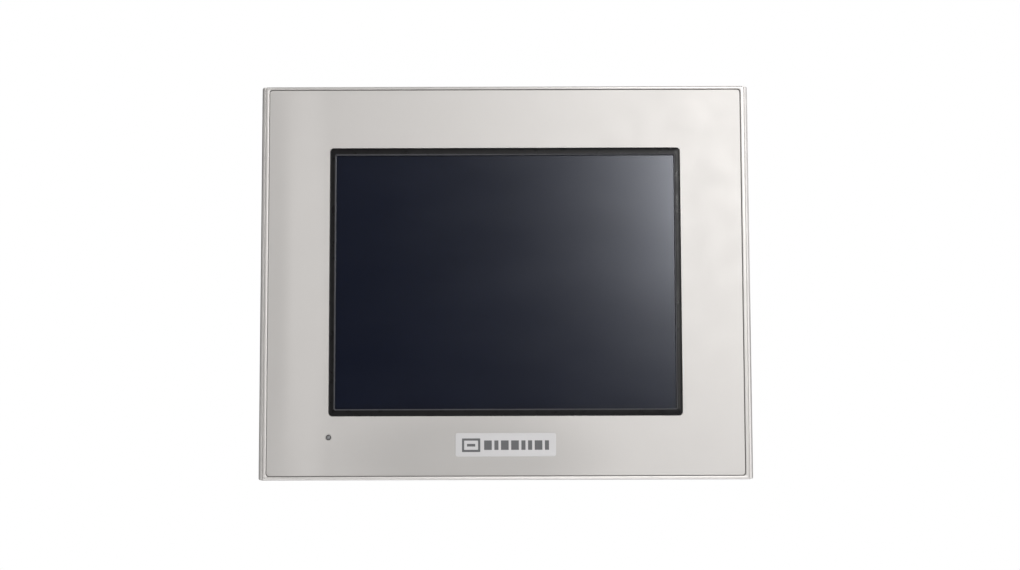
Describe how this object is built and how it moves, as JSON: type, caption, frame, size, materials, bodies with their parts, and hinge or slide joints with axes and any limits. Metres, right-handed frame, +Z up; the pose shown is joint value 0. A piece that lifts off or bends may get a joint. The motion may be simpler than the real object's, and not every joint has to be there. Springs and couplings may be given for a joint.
{
  "type": "operator touch panel",
  "caption": "Panel-mount operator touch panel: silver bezel with a black-framed screen, vented grey rear case, ports, card door and screw clamps.",
  "frame": {"origin": "centre of the panel cut-out on the front face of the mounting panel, which is the gasket's rear face", "axes": "+X right seen from the front, +Y back through the mounting panel, +Z up; the screen faces -Y"},
  "size_m": [0.1676, 0.0602, 0.135],
  "materials": {
    "silver_bezel": "satin silver, fine metallic grain",
    "silver_sheet": "satin silver printed sheet",
    "plate_silver": "bright satin plate",
    "window_black": "black, semi-gloss",
    "light_pipe": "smoked clear plastic",
    "touch_film": "dark anti-glare film",
    "glass": "clear",
    "gasket": "matte black",
    "steel_sheet": "plain sheet",
    "screw_steel": "zinc plated",
    "clamp_steel": "zinc plated",
    "lcd_dark": "dark display cell",
    "white_plastic": "white moulded",
    "clear_plastic": "clear moulded",
    "lamp_white": "white tube",
    "flex_amber": "amber film",
    "board_green": "green solder mask",
    "chip_black": "black moulded",
    "cell_steel": "battery can",
    "brass_plated": "turned",
    "shell_steel": "tin plated",
    "port_black": "black moulded",
    "port_white": "white moulded",
    "terminal_green": "green moulded",
    "dip_red": "red moulded",
    "case_grey": "dark grey, fine spark texture",
    "label_silver": "printed polyester label",
    "pad_black": "black moulded"
  },
  "bodies": {
    "case": {"front_bezel": "silver_bezel", "front_sheet": "silver_sheet", "name_plate": "plate_silver", "window_frame": "window_black", "status_light_pipe": "light_pipe", "touch_film": "touch_film", "touch_glass": "glass", "panel_gasket": "gasket", "lcd_frame": "steel_sheet", "lcd_cell": "lcd_dark", "diffuser_sheets": "white_plastic", "light_guide": "clear_plastic", "backlight_lamps": "lamp_white", "lcd_tray": "white_plastic", "flex_cables": "flex_amber", "chassis_plate": "steel_sheet", "internal_screws": "screw_steel", "board_standoffs": "brass_plated", "main_board": "board_green", "processor_chips": "chip_black", "backup_battery": "cell_steel", "power_board": "board_green", "power_parts": "chip_black", "inverter_board": "board_green", "com_shells": "shell_steel", "com_inserts": "port_black", "jackscrews": "screw_steel", "ethernet_shell": "shell_steel", "ethernet_insert": "port_black", "usb_shell": "shell_steel", "usb_tongue": "port_white", "power_header": "terminal_green", "card_socket": "port_black", "dip_housing": "dip_red", "rear_case": "case_grey", "case_screws": "screw_steel", "rating_label": "label_silver", "clamp_brackets": "clamp_steel"},
    "card_door": {"card_cover": "case_grey"},
    "eject_button": {"card_eject_button": "pad_black"},
    "eject_lever": {"card_eject_lever": "shell_steel"},
    "plug": {"power_plug": "terminal_green"},
    "screw_1": {"terminal_screw_1": "screw_steel"},
    "cage_1": {"terminal_cage_1": "brass_plated"},
    "screw_2": {"terminal_screw_2": "screw_steel"},
    "cage_2": {"terminal_cage_2": "brass_plated"},
    "screw_3": {"terminal_screw_3": "screw_steel"},
    "cage_3": {"terminal_cage_3": "brass_plated"},
    "dip_1": {"dip_slider_1": "port_white"},
    "pad_1": {"clamp_pad_1": "pad_black"},
    "clamp_1": {"clamp_screw_1": "screw_steel"},
    "dip_2": {"dip_slider_2": "port_white"},
    "pad_2": {"clamp_pad_2": "pad_black"},
    "clamp_2": {"clamp_screw_2": "screw_steel"},
    "dip_3": {"dip_slider_3": "port_white"},
    "pad_3": {"clamp_pad_3": "pad_black"},
    "clamp_3": {"clamp_screw_3": "screw_steel"},
    "dip_4": {"dip_slider_4": "port_white"},
    "pad_4": {"clamp_pad_4": "pad_black"},
    "clamp_4": {"clamp_screw_4": "screw_steel"}
  },
  "joints": [
    {"name": "card_cover_hinge", "type": "hinge", "parent": "case", "child": "card_door", "pos_m": [0.076, 0.0392, 0.013], "axis": [0, 0, 1], "range_deg": [0, 105]},
    {"name": "card_eject_slide", "type": "slide", "parent": "case", "child": "eject_button", "axis": [-1, 0, 0], "range_m": [0, 0.004]},
    {"name": "card_eject_pivot", "type": "hinge", "parent": "case", "child": "eject_lever", "pos_m": [0.05, 0.0277, 0.033], "axis": [0, -1, 0], "range_deg": [0, 25.5]},
    {"name": "dip_slide_1", "type": "slide", "parent": "case", "child": "dip_1", "axis": [0, 1, 0], "range_m": [0, 0.002]},
    {"name": "dip_slide_2", "type": "slide", "parent": "case", "child": "dip_2", "axis": [0, 1, 0], "range_m": [0, 0.002]},
    {"name": "dip_slide_3", "type": "slide", "parent": "case", "child": "dip_3", "axis": [0, 1, 0], "range_m": [0, 0.002]},
    {"name": "dip_slide_4", "type": "slide", "parent": "case", "child": "dip_4", "axis": [0, 1, 0], "range_m": [0, 0.002]},
    {"name": "plug_pull", "type": "slide", "parent": "case", "child": "plug", "axis": [0, 0, -1], "range_m": [0, 0.014]},
    {"name": "terminal_screw_1_turn", "type": "hinge", "parent": "plug", "child": "screw_1", "pos_m": [-0.05608, 0.0305, -0.056], "axis": [0, -1, 0], "range_deg": [0, 1728]},
    {"name": "terminal_cage_1_rise", "type": "slide", "parent": "plug", "child": "cage_1", "axis": [0, 1, 0], "range_m": [0, 0.0024]},
    {"name": "terminal_screw_2_turn", "type": "hinge", "parent": "plug", "child": "screw_2", "pos_m": [-0.051, 0.0305, -0.056], "axis": [0, -1, 0], "range_deg": [0, 1728]},
    {"name": "terminal_cage_2_rise", "type": "slide", "parent": "plug", "child": "cage_2", "axis": [0, 1, 0], "range_m": [0, 0.0024]},
    {"name": "terminal_screw_3_turn", "type": "hinge", "parent": "plug", "child": "screw_3", "pos_m": [-0.04592, 0.0305, -0.056], "axis": [0, -1, 0], "range_deg": [0, 1728]},
    {"name": "terminal_cage_3_rise", "type": "slide", "parent": "plug", "child": "cage_3", "axis": [0, 1, 0], "range_m": [0, 0.0024]},
    {"name": "clamp_1_advance", "type": "slide", "parent": "case", "child": "pad_1", "axis": [0, -1, 0], "range_m": [0, 0.0048]},
    {"name": "clamp_1_turn", "type": "hinge", "parent": "pad_1", "child": "clamp_1", "pos_m": [-0.067, 0.02, 0.06415], "axis": [0, -1, 0], "range_deg": [0, 3456]},
    {"name": "clamp_2_advance", "type": "slide", "parent": "case", "child": "pad_2", "axis": [0, -1, 0], "range_m": [0, 0.0048]},
    {"name": "clamp_2_turn", "type": "hinge", "parent": "pad_2", "child": "clamp_2", "pos_m": [0.067, 0.02, 0.06415], "axis": [0, -1, 0], "range_deg": [0, 3456]},
    {"name": "clamp_3_advance", "type": "slide", "parent": "case", "child": "pad_3", "axis": [0, -1, 0], "range_m": [0, 0.0048]},
    {"name": "clamp_3_turn", "type": "hinge", "parent": "pad_3", "child": "clamp_3", "pos_m": [-0.067, 0.02, -0.06415], "axis": [0, -1, 0], "range_deg": [0, 3456]},
    {"name": "clamp_4_advance", "type": "slide", "parent": "case", "child": "pad_4", "axis": [0, -1, 0], "range_m": [0, 0.0048]},
    {"name": "clamp_4_turn", "type": "hinge", "parent": "pad_4", "child": "clamp_4", "pos_m": [0.067, 0.02, -0.06415], "axis": [0, -1, 0], "range_deg": [0, 3456]}
  ],
  "couplings": [
    {"joint": "card_eject_pivot", "follows": "card_eject_slide", "rad_per_m": 111.11},
    {"joint": "terminal_screw_1_turn", "follows": "terminal_cage_1_rise", "rad_per_m": 12566},
    {"joint": "terminal_screw_2_turn", "follows": "terminal_cage_2_rise", "rad_per_m": 12566},
    {"joint": "terminal_screw_3_turn", "follows": "terminal_cage_3_rise", "rad_per_m": 12566},
    {"joint": "clamp_1_turn", "follows": "clamp_1_advance", "rad_per_m": 12566},
    {"joint": "clamp_2_turn", "follows": "clamp_2_advance", "rad_per_m": 12566},
    {"joint": "clamp_3_turn", "follows": "clamp_3_advance", "rad_per_m": 12566},
    {"joint": "clamp_4_turn", "follows": "clamp_4_advance", "rad_per_m": 12566}
  ]
}
